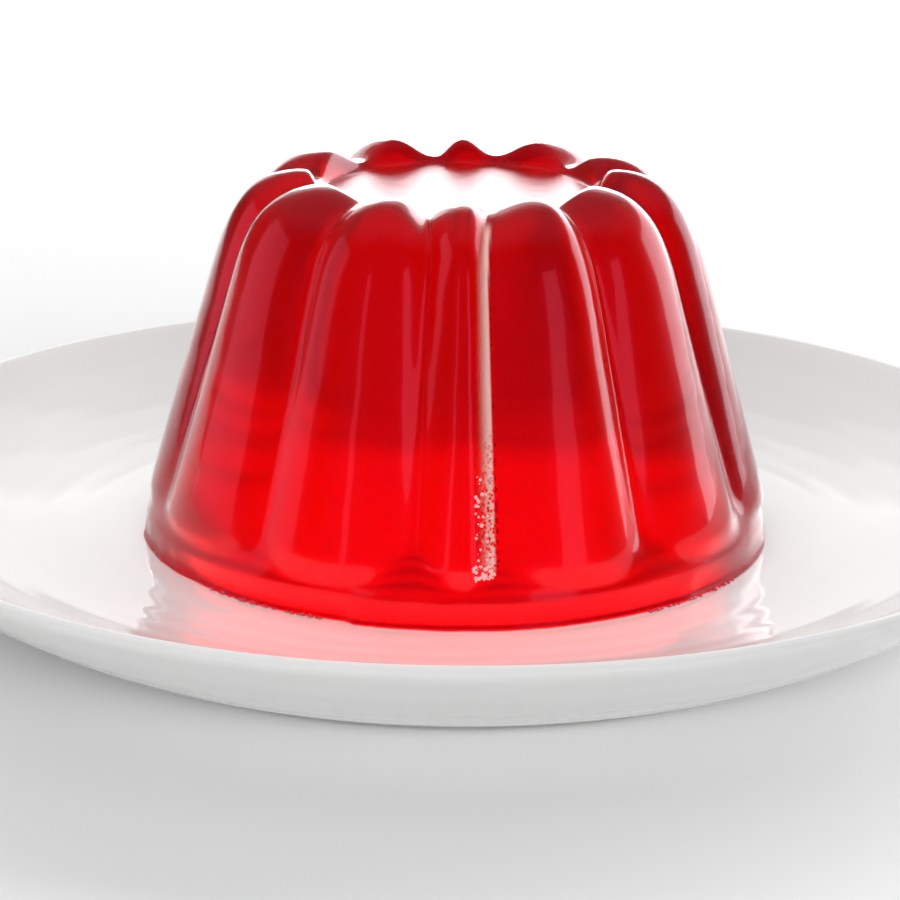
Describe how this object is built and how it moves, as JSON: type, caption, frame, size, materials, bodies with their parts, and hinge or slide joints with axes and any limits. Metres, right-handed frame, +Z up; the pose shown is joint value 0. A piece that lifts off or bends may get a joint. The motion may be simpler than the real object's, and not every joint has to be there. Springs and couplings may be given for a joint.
{
  "type": "moulded jelly on a plate",
  "caption": "Clear red fruit jelly with rounded ribs and a scalloped, sunken crown, turned out of its mould onto a round white porcelain plate with a low curved rim.",
  "frame": {"origin": "centre of the plate's foot, on the surface that it stands on", "axes": "+Z up along the jelly's and the plate's common axis, -Y towards the front, +X to the right"},
  "size_m": [0.24, 0.24, 0.0853],
  "materials": {
    "porcelain": "gloss",
    "red_jelly": "polished"
  },
  "bodies": {
    "root": {"plate": "porcelain", "jelly": "red_jelly"}
  },
  "joints": []
}
